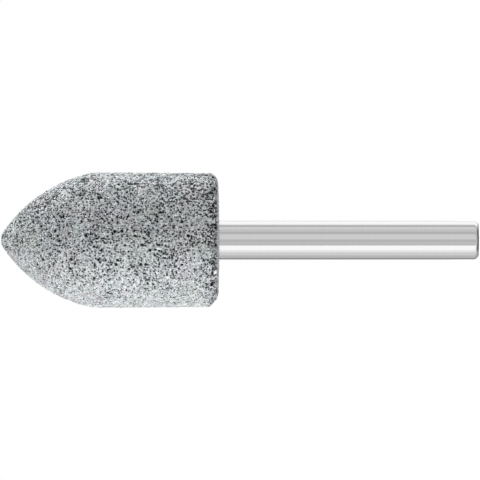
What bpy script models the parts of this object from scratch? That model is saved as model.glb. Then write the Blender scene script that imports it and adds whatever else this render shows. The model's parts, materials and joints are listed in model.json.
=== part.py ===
"""Mounted point: a pointed abrasive head cemented onto a round steel shank.

The part stands on the flat end of its shank, at the origin, and its axis is +Z.
All sizes are in metres.
"""

import math

import bmesh
import bpy
from mathutils import Vector

# Abrasive head: a slightly drafted cylinder that runs into a pointed arch
HEAD_DIAMETER = 0.0205
HEAD_LENGTH = 0.0329
POINT_LENGTH = 0.0143
POINT_ARC_RADIUS = 0.0217
NOSE_RADIUS = 0.0020
SHOULDER_RADIUS = 0.0060
BODY_DRAFT = 0.0001
REAR_EDGE_HEIGHT = 0.0014
REAR_EDGE_DEPTH = 0.0019
REAR_FACE_CROWN = 0.00012

# Flat that wear has rubbed across the rear edge, on the -X side
WORN_FLAT_HEIGHT = 0.0015
WORN_FLAT_DEPTH = 0.0020

# Blind bore that takes the shank, and the solid grit that is left ahead of it
SOLID_POINT_LENGTH = 0.0128
BORE_CONE_HEIGHT = 0.0012
BORE_MOUTH_CHAMFER = 0.0004

# Steel shank: the length that stands out of the head, its free end and its seat's end
SHANK_DIAMETER = 0.0060
SHANK_REACH = 0.0391
SHANK_END_ROUNDING = 0.0008
SEAT_END_CHAMFER = 0.0006

# Straight knurl and ring groove that key the shank into the cement
KNURL_PITCH = 0.0008
KNURL_DEPTH = 0.00025
KNURL_RUNOUT = 0.0006
KNURL_MARGIN = 0.0015
KNURL_BANDS = 2
GROOVE_WIDTH = 0.0014
GROOVE_DEPTH = 0.0003

# Cured cement film, and the gap that it keeps to the shank and to the bore
CEMENT_WALL = 0.0003
CEMENT_RECESS = 0.0003
SEAT_GAP = 0.0003

# Facets
HEAD_STEPS = 72
STEPS_PER_FLUTE = 3
NOSE_STEPS = 4
POINT_ARC_STEPS = 14
SHOULDER_STEPS = 3
EDGE_STEPS = 5
MERGE_DISTANCE = 1e-7
SHARP_ANGLE = math.radians(30.0)

# Fits that follow from the sizes above
SHANK_RADIUS = SHANK_DIAMETER / 2
CEMENT_INNER_RADIUS = SHANK_RADIUS + SEAT_GAP
CEMENT_OUTER_RADIUS = CEMENT_INNER_RADIUS + CEMENT_WALL
BORE_RADIUS = CEMENT_OUTER_RADIUS + SEAT_GAP
REAR_RADIUS = HEAD_DIAMETER / 2 - BODY_DRAFT
BORE_DEPTH = HEAD_LENGTH - SOLID_POINT_LENGTH - BORE_CONE_HEIGHT
CEMENT_DEPTH = BORE_DEPTH - SEAT_GAP
SEAT_LENGTH = CEMENT_DEPTH - CEMENT_WALL - SEAT_GAP
FLUTE_COUNT = round(math.pi * SHANK_DIAMETER / KNURL_PITCH)
SEAT_STEPS = FLUTE_COUNT * STEPS_PER_FLUTE


def clear_scene():
    """Remove every object that the scene opens with."""
    for found in list(bpy.data.objects):
        bpy.data.objects.remove(found, do_unlink=True)


def arc_points(centre, radii, start_angle, end_angle, steps):
    """Points (radius, height, flute depth) on an arc, both ends included.

    The centre is (radius, height), and radii are the arc's half axes across and along the part.
    """
    points = []
    for step in range(steps + 1):
        angle = start_angle + (end_angle - start_angle) * step / steps
        across = centre[0] + radii[0] * math.cos(angle)
        along = centre[1] + radii[1] * math.sin(angle)
        points.append((across, along, 0.0))
    return points


def plain(radius, height):
    """One unfluted point of a turned profile."""
    return (radius, height, 0.0)


def turned_solid(profile, steps):
    """Turn a profile about +Z into a closed solid, then press in the flutes that it asks for.

    Each profile point carries a flute depth. Spinning copies it to every column, and one
    column in STEPS_PER_FLUTE is then pulled in by it, which leaves V flutes along the axis.
    """
    solid = bmesh.new()
    flute_depth = solid.verts.layers.float.new("flute_depth")
    chain = []
    for radius, height, depth in profile:
        point = solid.verts.new((radius, 0.0, height))
        point[flute_depth] = depth
        chain.append(point)
    links = [solid.edges.new(pair) for pair in zip(chain, chain[1:])]
    bmesh.ops.spin(
        solid,
        geom=chain + links,
        cent=(0.0, 0.0, 0.0),
        axis=(0.0, 0.0, 1.0),
        angle=math.tau,
        steps=steps,
        use_merge=True,
    )
    bmesh.ops.remove_doubles(solid, verts=solid.verts, dist=MERGE_DISTANCE)
    press_flutes(solid, flute_depth, steps)
    return solid


def finished_mesh(name, solid):
    """Mesh of a closed solid, with its faces pointing outwards and its round sides smooth."""
    bmesh.ops.recalc_face_normals(solid, faces=solid.faces)
    mesh = bpy.data.meshes.new(name)
    solid.to_mesh(mesh)
    solid.free()
    mesh.shade_smooth()
    mesh.set_sharp_from_angle(angle=SHARP_ANGLE)
    return mesh


def press_flutes(solid, flute_depth, steps):
    """Pull one column in STEPS_PER_FLUTE towards the axis, by each point's own flute depth."""
    for point in solid.verts:
        if point[flute_depth] == 0.0:
            continue
        column = round(math.atan2(point.co.y, point.co.x) / math.tau * steps)
        if column % STEPS_PER_FLUTE:
            continue
        radius = math.hypot(point.co.x, point.co.y)
        shrink = (radius - point[flute_depth]) / radius
        point.co.x *= shrink
        point.co.y *= shrink


def point_arc_centre():
    """Centre (radius, height above the rear face) of the arc that makes the pointed arch.

    The arc passes through the shoulder, and the round nose touches it from inside, so the
    centre lies at known distances from the shoulder and from the nose's centre.
    """
    shoulder = (HEAD_DIAMETER / 2, HEAD_LENGTH - POINT_LENGTH)
    nose = (0.0, HEAD_LENGTH - NOSE_RADIUS)
    across = nose[0] - shoulder[0]
    along = nose[1] - shoulder[1]
    spacing = math.hypot(across, along)
    to_nose = POINT_ARC_RADIUS - NOSE_RADIUS
    foot = (spacing**2 + POINT_ARC_RADIUS**2 - to_nose**2) / (2 * spacing)
    offset = math.sqrt(POINT_ARC_RADIUS**2 - foot**2)
    unit = (across / spacing, along / spacing)
    return (
        shoulder[0] + foot * unit[0] - offset * unit[1],
        shoulder[1] + foot * unit[1] + offset * unit[0],
    )


def point_profile():
    """Shoulder blend, pointed arch and round nose, each arc tangent to the one before."""
    arch = point_arc_centre()
    blend_radius = HEAD_DIAMETER / 2 - SHOULDER_RADIUS
    reach = POINT_ARC_RADIUS - SHOULDER_RADIUS
    rise = math.sqrt(reach**2 - (blend_radius - arch[0]) ** 2)
    blend = (blend_radius, arch[1] + rise)
    nose = (0.0, HEAD_LENGTH - NOSE_RADIUS)
    arch_start = math.atan2(rise, blend_radius - arch[0])
    arch_end = math.atan2(nose[1] - arch[1], nose[0] - arch[0])
    shoulder_radii = (SHOULDER_RADIUS, SHOULDER_RADIUS)
    arch_radii = (POINT_ARC_RADIUS, POINT_ARC_RADIUS)
    nose_radii = (NOSE_RADIUS, NOSE_RADIUS)
    shoulder_arc = arc_points(blend, shoulder_radii, 0.0, arch_start, SHOULDER_STEPS)
    arch_arc = arc_points(arch, arch_radii, arch_start, arch_end, POINT_ARC_STEPS)
    nose_arc = arc_points(nose, nose_radii, arch_end, math.pi / 2, NOSE_STEPS)
    return shoulder_arc + arch_arc[1:] + nose_arc[1:-1] + [plain(0.0, HEAD_LENGTH)]


def bore_profile():
    """Blind bore from its conical bottom to its chamfered mouth in the rear face."""
    return [
        plain(0.0, BORE_DEPTH + BORE_CONE_HEIGHT),
        plain(BORE_RADIUS, BORE_DEPTH),
        plain(BORE_RADIUS, BORE_MOUTH_CHAMFER),
        plain(BORE_RADIUS + BORE_MOUTH_CHAMFER, 0.0),
    ]


def rear_edge_profile():
    """Worn rear edge: a quarter of an ellipse from the crowned rear face to the body."""
    centre = (REAR_RADIUS - REAR_EDGE_DEPTH, REAR_FACE_CROWN + REAR_EDGE_HEIGHT)
    radii = (REAR_EDGE_DEPTH, REAR_EDGE_HEIGHT)
    return arc_points(centre, radii, -math.pi / 2, 0.0, EDGE_STEPS)


def head_profile():
    """Whole outline of the head, from the bottom of the bore round to the tip."""
    return bore_profile() + rear_edge_profile() + point_profile()


def rub_rear_edge(solid):
    """Cut the worn flat across the rear edge on the -X side, and close the cut with a face."""
    on_body = Vector((-REAR_RADIUS, 0.0, WORN_FLAT_HEIGHT))
    outwards = Vector((-WORN_FLAT_HEIGHT, 0.0, -WORN_FLAT_DEPTH)).normalized()
    cut = bmesh.ops.bisect_plane(
        solid,
        geom=solid.verts[:] + solid.edges[:] + solid.faces[:],
        dist=MERGE_DISTANCE,
        plane_co=on_body,
        plane_no=outwards,
        clear_outer=True,
    )
    rim = [found for found in cut["geom_cut"] if isinstance(found, bmesh.types.BMEdge)]
    bmesh.ops.contextual_create(solid, geom=rim)


def seat_profile(clearance):
    """Knurled bands with a ring groove between them, moved outwards by a clearance.

    Heights run from the head's rear face into the head. The bands share what the plain
    margins and the grooves leave of the seat's length.
    """
    radius = SHANK_RADIUS + clearance
    grooves = (KNURL_BANDS - 1) * GROOVE_WIDTH
    band = (SEAT_LENGTH - 2 * KNURL_MARGIN - grooves) / KNURL_BANDS
    points = []
    for number in range(KNURL_BANDS):
        start = KNURL_MARGIN + number * (band + GROOVE_WIDTH)
        end = start + band
        if number > 0:
            points.append(plain(radius - GROOVE_DEPTH, start - GROOVE_WIDTH + GROOVE_DEPTH))
            points.append(plain(radius - GROOVE_DEPTH, start - GROOVE_DEPTH))
        points.append(plain(radius, start))
        points.append((radius, start + KNURL_RUNOUT, KNURL_DEPTH))
        points.append((radius, end - KNURL_RUNOUT, KNURL_DEPTH))
        points.append(plain(radius, end))
    return points


def shank_profile():
    """Whole outline of the shank, from the centre of its free end to its seat's end."""
    end_centre = (SHANK_RADIUS - SHANK_END_ROUNDING, SHANK_END_ROUNDING)
    end_radii = (SHANK_END_ROUNDING, SHANK_END_ROUNDING)
    free_end = arc_points(end_centre, end_radii, -math.pi / 2, 0.0, EDGE_STEPS)
    seat = [(r, SHANK_REACH + height, depth) for r, height, depth in seat_profile(0.0)]
    top = SHANK_REACH + SEAT_LENGTH
    seat_end = [
        plain(SHANK_RADIUS, top - SEAT_END_CHAMFER),
        plain(SHANK_RADIUS - SEAT_END_CHAMFER, top),
        plain(0.0, top),
    ]
    return [plain(0.0, 0.0)] + free_end + seat + seat_end


def cement_profile():
    """Film between shank and bore: its fluted inner wall, its mouth and its plain outside."""
    inner_top = SEAT_LENGTH + SEAT_GAP
    inner = [
        plain(0.0, inner_top),
        plain(CEMENT_INNER_RADIUS - SEAT_END_CHAMFER, inner_top),
        plain(CEMENT_INNER_RADIUS, inner_top - SEAT_END_CHAMFER),
    ]
    mouth = [
        plain(CEMENT_INNER_RADIUS, CEMENT_RECESS),
        plain(CEMENT_OUTER_RADIUS, CEMENT_RECESS),
    ]
    outer = [
        plain(CEMENT_OUTER_RADIUS, CEMENT_DEPTH),
        plain(0.0, CEMENT_DEPTH + BORE_CONE_HEIGHT),
    ]
    return inner + seat_profile(SEAT_GAP)[::-1] + mouth + outer


def make_finish(name, colour, roughness, metallic):
    """Material with one Principled shader."""
    finish = bpy.data.materials.new(name)
    finish.use_nodes = True
    finish.diffuse_color = (*colour, 1.0)
    shader = finish.node_tree.nodes["Principled BSDF"]
    shader.inputs["Base Color"].default_value = (*colour, 1.0)
    shader.inputs["Roughness"].default_value = roughness
    shader.inputs["Metallic"].default_value = metallic
    return finish


def place(name, mesh, finish, height, carrier):
    """Add one named piece to the scene, at its height on the axis."""
    piece = bpy.data.objects.new(name, mesh)
    piece.location = (0.0, 0.0, height)
    piece.parent = carrier
    mesh.materials.append(finish)
    bpy.context.scene.collection.objects.link(piece)
    return piece


def build_head(carrier):
    """Bonded abrasive head, pressed and fired as one piece."""
    finish = make_finish("bonded_grit", (0.34, 0.36, 0.37), 0.85, 0.0)
    solid = turned_solid(head_profile(), HEAD_STEPS)
    rub_rear_edge(solid)
    place("abrasive_head", finished_mesh("abrasive_head", solid), finish, SHANK_REACH, carrier)


def build_shank(carrier):
    """Ground steel shank with its knurled seat inside the head."""
    finish = make_finish("ground_steel", (0.66, 0.66, 0.67), 0.22, 1.0)
    solid = turned_solid(shank_profile(), SEAT_STEPS)
    place("shank", finished_mesh("shank", solid), finish, 0.0, carrier)


def build_cement(carrier):
    """Cured cement film that holds the shank in the bore."""
    finish = make_finish("cured_cement", (0.42, 0.40, 0.36), 0.75, 0.0)
    solid = turned_solid(cement_profile(), SEAT_STEPS)
    place("bonding_cement", finished_mesh("bonding_cement", solid), finish, SHANK_REACH, carrier)


def main():
    """Build the mounted point from its three pieces."""
    clear_scene()
    carrier = bpy.data.objects.new("mounted_point", None)
    bpy.context.scene.collection.objects.link(carrier)
    build_shank(carrier)
    build_cement(carrier)
    build_head(carrier)


main()
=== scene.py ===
"""Looks of a mounted point: a pointed head of bonded abrasive grains on a ground steel shank.

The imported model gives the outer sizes. This script gives each piece its surface: the bond of
the head with its open pores, the grains that stand in it, the ground finish of the shank and
the cement in the mouth of the bore. The part stands on its shank, and the camera is rolled,
so that the picture shows it lying level with its point to the left.

Lengths are in metres and angles in radians, unless a name says otherwise.
"""

import json
import logging
import math
import random
from dataclasses import dataclass, field
from enum import Enum

import bmesh
import bpy
import numpy as np
from mathutils import Matrix, Vector

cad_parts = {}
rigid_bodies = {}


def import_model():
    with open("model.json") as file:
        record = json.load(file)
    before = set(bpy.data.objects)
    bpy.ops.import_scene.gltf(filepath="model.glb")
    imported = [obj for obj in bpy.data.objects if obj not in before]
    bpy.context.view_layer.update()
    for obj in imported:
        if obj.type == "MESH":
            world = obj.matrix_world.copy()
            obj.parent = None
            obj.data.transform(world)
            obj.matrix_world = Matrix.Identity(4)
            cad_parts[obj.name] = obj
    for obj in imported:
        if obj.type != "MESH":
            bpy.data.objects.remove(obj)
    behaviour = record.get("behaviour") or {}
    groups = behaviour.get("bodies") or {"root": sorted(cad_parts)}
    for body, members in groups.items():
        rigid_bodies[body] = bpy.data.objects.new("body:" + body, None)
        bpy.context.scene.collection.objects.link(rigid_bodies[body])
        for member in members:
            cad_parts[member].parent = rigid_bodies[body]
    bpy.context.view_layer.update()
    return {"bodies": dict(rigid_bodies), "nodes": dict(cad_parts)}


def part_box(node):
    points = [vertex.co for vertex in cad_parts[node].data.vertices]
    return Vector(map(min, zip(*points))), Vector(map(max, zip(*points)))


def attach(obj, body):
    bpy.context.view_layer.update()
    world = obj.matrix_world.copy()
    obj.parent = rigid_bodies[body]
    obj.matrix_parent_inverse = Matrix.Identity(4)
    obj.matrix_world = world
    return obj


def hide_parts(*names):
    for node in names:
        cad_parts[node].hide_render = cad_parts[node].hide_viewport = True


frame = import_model()

LOG = logging.getLogger("mounted_point")

MILLIMETRE = 0.001
MERGE_DISTANCE = 1e-7
NANOMETRE_DIGITS = 9
SECTORS = 16
SHARP_ANGLE = math.radians(40.0)
BAKE_MAP = "OFBake"
CELL_MARGIN = 0.05
WHITE = (1.0, 1.0, 1.0, 1.0)
BLACK = (0.0, 0.0, 0.0, 1.0)
NOISE_MEAN = (0.5, 0.5, 0.5)

Feed = bpy.types.NodeSocket | bpy.types.Collection | float | int | bool | str | tuple
Place = tuple[float, float]
Range = tuple[float, float]
Colour = tuple[float, float, float]


class Slot(Enum):
    """Material slots of the record."""

    GRIT = "bonded_grit"
    STEEL = "ground_steel"
    CEMENT = "cured_cement"


class Mark(Enum):
    """Attributes that meshes carry to their materials."""

    SKIN = "skin"
    RUN = "outline_run"
    # Wear, which towards the rear face also carries painted shade.
    WEAR = "wear"
    FLUTE = "flute"
    PLACE = "surface_place"
    TONE = "grain_tone"
    NUMBER = "grain_number"


class Draw(Enum):
    """Random draws of each grain, by their seed."""

    KIND = 1
    LEAN_X = 2
    LEAN_Y = 3
    TURN = 4
    SIZE = 6
    WIDTH = 7
    FORM = 8
    TONE = 9


class Use(Enum):
    """What a lamp lights."""

    ALL = "all"
    GRIT_ONLY = "grit"


def share_of(value: float) -> float:
    """Keep a share between 0 and 1."""
    return min(max(value, 0.0), 1.0)


def level_direction(bearing_deg: float) -> Vector:
    """Level direction from the axis, -Y at 0 degrees and +X at 90."""
    bearing = math.radians(bearing_deg)
    return Vector((math.sin(bearing), -math.cos(bearing), 0.0))


@dataclass(frozen=True)
class Noise:
    """Cloudy noise in three dimensions.

    Args:
        scale: Number of its lumps for each unit of length.
        detail: Layers of finer noise in it.
    """

    scale: float
    detail: float = 2.0


@dataclass(frozen=True)
class Ramp:
    """How one value is mapped to another.

    Args:
        start: Value that gives low.
        end: Value that gives high.
        low: Result at start.
        high: Result at end.
        smooth: Whether the change eases in and out.
    """

    start: float
    end: float
    low: float = 0.0
    high: float = 1.0
    smooth: bool = True


@dataclass(frozen=True)
class Clouds:
    """How strongly cloudy patches change a colour.

    Args:
        tone: Share by which they turn lighter and darker.
        tint: Share by which they turn warmer and cooler.
    """

    tone: float
    tint: float


STONE_CLOUDS = Clouds(0.25, 0.027)


@dataclass
class Net:
    """Adds nodes to a shader or geometry tree and links them.

    Args:
        tree: The node tree that is added to.
    """

    tree: bpy.types.NodeTree

    def node(self, kind: str, feeds: dict | None = None, **settings: object) -> bpy.types.Node:
        """Add one node.

        Args:
            kind: Type name of the node.
            feeds: For each input, by name or number, a socket to link or a value to set.
            settings: Properties of the node, set before its inputs.

        Returns:
            The new node.
        """
        made = self.tree.nodes.new(kind)
        for name, value in settings.items():
            setattr(made, name, value)
        self.feed(made, feeds or {})
        return made

    def feed(self, node: bpy.types.Node, feeds: dict[str | int, Feed]) -> None:
        """Link or set inputs of a node.

        Args:
            node: The node.
            feeds: For each input, by name or number, a socket to link or a value to set.
        """
        for key, feed in feeds.items():
            if isinstance(feed, bpy.types.NodeSocket):
                self.tree.links.new(feed, node.inputs[key])
            else:
                node.inputs[key].default_value = feed

    def maths(self, operation: str, *feeds: Feed) -> bpy.types.NodeSocket:
        """Add a Math node and return its result."""
        return self.node("ShaderNodeMath", dict(enumerate(feeds)), operation=operation).outputs[0]

    def vectors(self, operation: str, *feeds: Feed) -> bpy.types.NodeSocket:
        """Add a Vector Math node and return its vector."""
        keys = (0, "Scale") if operation == "SCALE" else range(len(feeds))
        return self.node("ShaderNodeVectorMath", dict(zip(keys, feeds)), operation=operation).outputs[0]

    def length(self, vector: Feed) -> bpy.types.NodeSocket:
        """Measure the length of a vector."""
        return self.node("ShaderNodeVectorMath", {0: vector}, operation="LENGTH").outputs["Value"]

    def part(self, vector: Feed, number: int) -> bpy.types.NodeSocket:
        """Take one of a vector's three numbers."""
        return self.node("ShaderNodeSeparateXYZ", {0: vector}).outputs[number]

    def vector(self, *numbers: Feed) -> bpy.types.NodeSocket:
        """Put a vector together from its three numbers."""
        return self.node("ShaderNodeCombineXYZ", dict(enumerate(numbers))).outputs[0]

    def ramp(self, value: Feed, ramp: Ramp) -> bpy.types.NodeSocket:
        """Add a Map Range node.

        Args:
            value: The value that is mapped.
            ramp: How it is mapped.

        Returns:
            The mapped value.
        """
        kind = "SMOOTHSTEP" if ramp.smooth else "LINEAR"
        feeds = dict(enumerate((value, ramp.start, ramp.end, ramp.low, ramp.high)))
        return self.node("ShaderNodeMapRange", feeds, interpolation_type=kind).outputs[0]

    def noise(self, place: Feed, noise: Noise, output: str = "Fac") -> bpy.types.NodeSocket:
        """Add a Noise Texture node.

        Args:
            place: Where the noise is read.
            noise: The noise.
            output: Fac for one number, Color for three.

        Returns:
            The noise, whose mean is 0.5.
        """
        feeds = {"Vector": place, "Scale": noise.scale, "Detail": noise.detail}
        return self.node("ShaderNodeTexNoise", feeds).outputs[output]

    def blend(self, share: Feed, first: Feed, second: Feed) -> bpy.types.NodeSocket:
        """Add a Mix node for colours and return its colour."""
        feeds = {"Factor": share, "A": first, "B": second}
        return self.node("ShaderNodeMix", feeds, data_type="RGBA").outputs["Result"]

    def bump(self, height: Feed, distance_mm: float, strength: float = 1.0) -> bpy.types.NodeSocket:
        """Add a Bump node and return its normal."""
        feeds = {"Height": height, "Distance": distance_mm * MILLIMETRE, "Strength": strength}
        return self.node("ShaderNodeBump", feeds).outputs["Normal"]

    def object_mm(self) -> bpy.types.NodeSocket:
        """Object coordinates in millimetres, in a shader."""
        return self.vectors("SCALE", self.node("ShaderNodeTexCoord").outputs["Object"], 1 / MILLIMETRE)

    def position_mm(self) -> bpy.types.NodeSocket:
        """Positions in millimetres, in a geometry tree."""
        return self.vectors("SCALE", self.node("GeometryNodeInputPosition").outputs[0], 1 / MILLIMETRE)

    def attribute(self, mark: Mark, output: str = "Fac") -> bpy.types.NodeSocket:
        """Read an attribute, in a shader."""
        return self.node("ShaderNodeAttribute", attribute_name=mark.value).outputs[output]

    def named(self, mark: Mark, kind: str = "FLOAT") -> bpy.types.NodeSocket:
        """Read an attribute, in a geometry tree."""
        feeds = {"Name": mark.value}
        return self.node("GeometryNodeInputNamedAttribute", feeds, data_type=kind).outputs[0]

    def store(self, geometry: Feed, mark: Mark, value: Feed, **settings: str) -> bpy.types.NodeSocket:
        """Store an attribute, in a geometry tree, and return the geometry."""
        feeds = {"Geometry": geometry, "Name": mark.value, "Value": value}
        return self.node("GeometryNodeStoreNamedAttribute", feeds, **settings).outputs[0]


@dataclass(frozen=True)
class Voids:
    """Round voids of one kind.

    Args:
        spacing_mm: Mean distance between the middles of two voids.
        least_mm: Radius of the smallest voids.
        most_mm: Radius of the largest voids.
        rarity: Power that makes large voids rarer than small ones.
        scatter: How freely they lie, from 0 for a grid to 1.
    """

    spacing_mm: float
    least_mm: float
    most_mm: float
    rarity: float = 1.0
    scatter: float = 1.0

    def depth(self, net: Net, place_mm: Feed, gain: Feed) -> bpy.types.NodeSocket:
        """Weave the voids into a tree.

        Args:
            net: The tree, of shader or geometry nodes.
            place_mm: Position in the stone, in millimetres.
            gain: Factor on every radius.

        Returns:
            How deep the position lies inside a void, in millimetres, negative outside.
        """
        feeds = {"Vector": place_mm, "Scale": 1 / self.spacing_mm, "Randomness": self.scatter}
        cells = net.node("ShaderNodeTexVoronoi", feeds).outputs
        draw = net.maths("POWER", net.part(cells["Color"], 0), self.rarity)
        radius = net.ramp(draw, Ramp(0.0, 1.0, self.least_mm, self.most_mm, smooth=False))
        away = net.maths("MULTIPLY", cells["Distance"], self.spacing_mm)
        return net.maths("SUBTRACT", net.maths("MULTIPLY", radius, gain), away)


@dataclass(frozen=True)
class PorePattern:
    """Voids that lie through the bonded stone, and that its surface cuts open.

    The same pattern shapes the bond, keeps grains out of the open pores and paints shade on their floors.

    Args:
        fine: The many small voids.
        coarse: The few large voids.
        bend: Noise that bends the voids' outlines.
        bend_mm: How far an outline strays from a circle.
        patch: Noise of the patches that hold larger or smaller voids.
        patch_gain: Factor on the voids' radii that it gives.
        worn_gain: What full wear adds to that factor.
        side_gain: What each millimetre towards +X adds to that factor.
        torn: Noise of the places where worn stone has lost its grains.
        torn_mm: Depth of these places that it gives.
        unworn_mm: What less wear takes off that depth.
    """

    fine: Voids = Voids(0.33, 0.07, 0.168, scatter=0.85)
    coarse: Voids = Voids(0.72, 0.05, 0.27, 1.5)
    bend: Noise = Noise(1.7, 1.0)
    bend_mm: float = 0.09
    patch: Noise = Noise(0.3125)
    patch_gain: Ramp = Ramp(0.36, 0.64, 0.86, 1.13)
    worn_gain: float = 0.60
    side_gain: float = 0.017
    torn: Noise = Noise(1.0, 3.0)
    torn_mm: Ramp = Ramp(0.45, 0.63, -0.30, 0.20)
    unworn_mm: Ramp = Ramp(0.2, 0.9, 0.50, 0.0)

    def depth(self, net: Net, place_mm: Feed, wear: Feed) -> bpy.types.NodeSocket:
        """Weave the pattern into a tree.

        Args:
            net: The tree, of shader or geometry nodes.
            place_mm: Position on the stone, in millimetres.
            wear: Share of wear, from 0 to 1.

        Returns:
            How deep the position lies inside a void, in millimetres, negative outside.
        """
        stray = net.vectors("SUBTRACT", net.noise(place_mm, self.bend, "Color"), NOISE_MEAN)
        bent = net.vectors("ADD", place_mm, net.vectors("SCALE", stray, 2 * self.bend_mm))
        patch = net.ramp(net.noise(place_mm, self.patch), self.patch_gain)
        gain = net.maths("MULTIPLY_ADD", wear, self.worn_gain, patch)
        gain = net.maths("MULTIPLY_ADD", net.part(place_mm, 0), self.side_gain, gain)
        fine, coarse = (voids.depth(net, bent, gain) for voids in (self.fine, self.coarse))
        torn = net.ramp(net.noise(place_mm, self.torn), self.torn_mm)
        torn = net.maths("SUBTRACT", torn, net.ramp(wear, self.unworn_mm))
        return net.maths("MAXIMUM", net.maths("MAXIMUM", fine, coarse), torn)


PORES = PorePattern()


@dataclass
class Outline:
    """Outline of a turned piece, drawn point by point from the axis round to the axis.

    Args:
        points: Radius and height of each point.
        marks: Two numbers for each point: whether it is on the visible skin, and its flute depth.
    """

    points: list[Place] = field(default_factory=list)
    marks: list[Place] = field(default_factory=list)

    def point(self, radius: float, height: float, skin: float = 0.0, flute: float = 0.0) -> None:
        """Add one point."""
        self.points.append((radius, height))
        self.marks.append((skin, flute))

    def line(self, end: Place, step: float) -> None:
        """Add evenly spaced points of skin from the last point to an end.

        Args:
            end: Radius and height of the end.
            step: Widest distance between two points.
        """
        start = Vector(self.points[-1])
        reach = Vector(end) - start
        count = math.ceil(reach.length / step)
        for number in range(1, count + 1):
            self.point(*(start + reach * number / count), skin=1.0)

    def arc(self, centre: Place, radii: Place, start: float, end: float, step: float) -> None:
        """Add evenly spaced points of skin on an arc, without its first point.

        Args:
            centre: Radius and height of the arc's centre.
            radii: Half axes across and along the piece.
            start: Angle at which the arc starts, 0 pointing away from the axis.
            end: Angle at which it ends.
            step: Widest distance between two points.
        """
        count = math.ceil(max(radii) * abs(end - start) / step)
        for number in range(1, count + 1):
            angle = start + (end - start) * number / count
            across = centre[0] + radii[0] * math.cos(angle)
            along = centre[1] + radii[1] * math.sin(angle)
            self.point(max(across, 0.0), along, skin=1.0)

    def turned(self, steps: int) -> bmesh.types.BMesh:
        """Turn the outline about +Z, one sector first and then copies of it all round.

        Args:
            steps: Columns of faces around the axis, a multiple of SECTORS.

        Returns:
            A closed solid whose vertices carry their marks and their run along the outline.
        """
        solid = bmesh.new()
        marks = (Mark.SKIN, Mark.RUN, Mark.WEAR, Mark.FLUTE)
        skin, run, wear, flute = [solid.verts.layers.float.new(mark.value) for mark in marks]
        chain, travelled = [], 0.0
        for number, (radius, height) in enumerate(self.points):
            vert = solid.verts.new((radius, 0.0, height))
            vert[skin], vert[flute] = self.marks[number]
            if chain:
                travelled += (vert.co - chain[-1].co).length
            vert[run], vert[wear] = travelled, 0.0
            chain.append(vert)
        links = [solid.edges.new(pair) for pair in zip(chain, chain[1:])]
        about = {"cent": (0, 0, 0), "axis": (0, 0, 1)}
        sector = math.tau / SECTORS
        bmesh.ops.spin(
            solid, geom=chain + links, angle=sector, steps=steps // SECTORS, use_merge=False, **about
        )
        bmesh.ops.spin(
            solid, geom=[*solid.verts, *solid.edges, *solid.faces], angle=math.tau - sector,
            steps=SECTORS - 1, use_duplicate=True, **about
        )
        bmesh.ops.remove_doubles(solid, verts=solid.verts, dist=MERGE_DISTANCE)
        bmesh.ops.recalc_face_normals(solid, faces=solid.faces)
        return solid


def add_object(name: str, data: bpy.types.ID) -> bpy.types.Object:
    """Add an object to the scene.

    Args:
        name: Name of the object.
        data: Its mesh, lamp or camera.

    Returns:
        The new object, at the origin.
    """
    added = bpy.data.objects.new(name, data)
    bpy.context.scene.collection.objects.link(added)
    return added


def make_piece(name: str, solid: bmesh.types.BMesh, smooth: bool = True) -> bpy.types.Object:
    """Make an object of a solid, at the origin.

    Args:
        name: Name of the piece.
        solid: The solid, which is freed.
        smooth: Whether its round sides are shaded smooth.

    Returns:
        The new object, in the scene.
    """
    mesh = bpy.data.meshes.new(name)
    solid.to_mesh(mesh)
    solid.free()
    if smooth:
        mesh.shade_smooth()
        mesh.set_sharp_from_angle(angle=SHARP_ANGLE)
    return add_object(name, mesh)


def dress(piece: bpy.types.Object, finish: bpy.types.Material) -> None:
    """Give a piece its finish, and let it ride on the part.

    Args:
        piece: The piece.
        finish: Its material.
    """
    piece.data.materials.clear()
    piece.data.materials.append(finish)
    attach(piece, "root")
    LOG.info("%s: %d faces", piece.name, len(piece.data.polygons))


def read_floats(mesh: bpy.types.Mesh, mark: Mark) -> np.ndarray:
    """Read a number that each vertex carries.

    Args:
        mesh: The mesh.
        mark: Which number.

    Returns:
        The number of each vertex.
    """
    values = np.empty(len(mesh.vertices), np.float32)
    mesh.attributes[mark.value].data.foreach_get("value", values)
    return values


def read_corners(mesh: bpy.types.Mesh) -> tuple[np.ndarray, np.ndarray]:
    """Read where the face corners of a mesh belong.

    Args:
        mesh: The mesh.

    Returns:
        The vertex of each face corner, and its face.
    """
    corner_vert = np.empty(len(mesh.loops), np.int32)
    mesh.loops.foreach_get("vertex_index", corner_vert)
    sides = np.empty(len(mesh.polygons), np.int32)
    mesh.polygons.foreach_get("loop_total", sides)
    return corner_vert, np.repeat(np.arange(len(sides)), sides)


def lay_bake_map(mesh: bpy.types.Mesh, columns: int) -> None:
    """Unroll a turned mesh into a map for baking, angle across and outline run upwards.

    Args:
        mesh: A turned mesh whose vertices carry their run along the outline.
        columns: Columns of faces around the axis.
    """
    places = np.empty(len(mesh.vertices) * 3, np.float32)
    mesh.vertices.foreach_get("co", places)
    run = read_floats(mesh, Mark.RUN)
    corner_vert, face = read_corners(mesh)
    corners = places.reshape(-1, 3)[corner_vert]
    centre = np.zeros((len(mesh.polygons), 2))
    np.add.at(centre, face, corners[:, :2])
    column = np.floor(np.arctan2(centre[:, 1], centre[:, 0]) / math.tau * columns)
    turn = np.arctan2(corners[:, 1], corners[:, 0]) / math.tau * columns
    offset = np.round(turn - column[face]) % columns
    on_axis = np.hypot(corners[:, 0], corners[:, 1]) < MERGE_DISTANCE
    offset = np.where(on_axis, 0.5, np.clip(offset, 0.0, 1.0))
    across = (column[face] % columns + offset) / columns
    upwards = run[corner_vert] / run.max()
    layer = mesh.uv_layers.new(name=BAKE_MAP)
    layer.data.foreach_set("uv", np.column_stack((across, upwards)).astype(np.float32).ravel())


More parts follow.
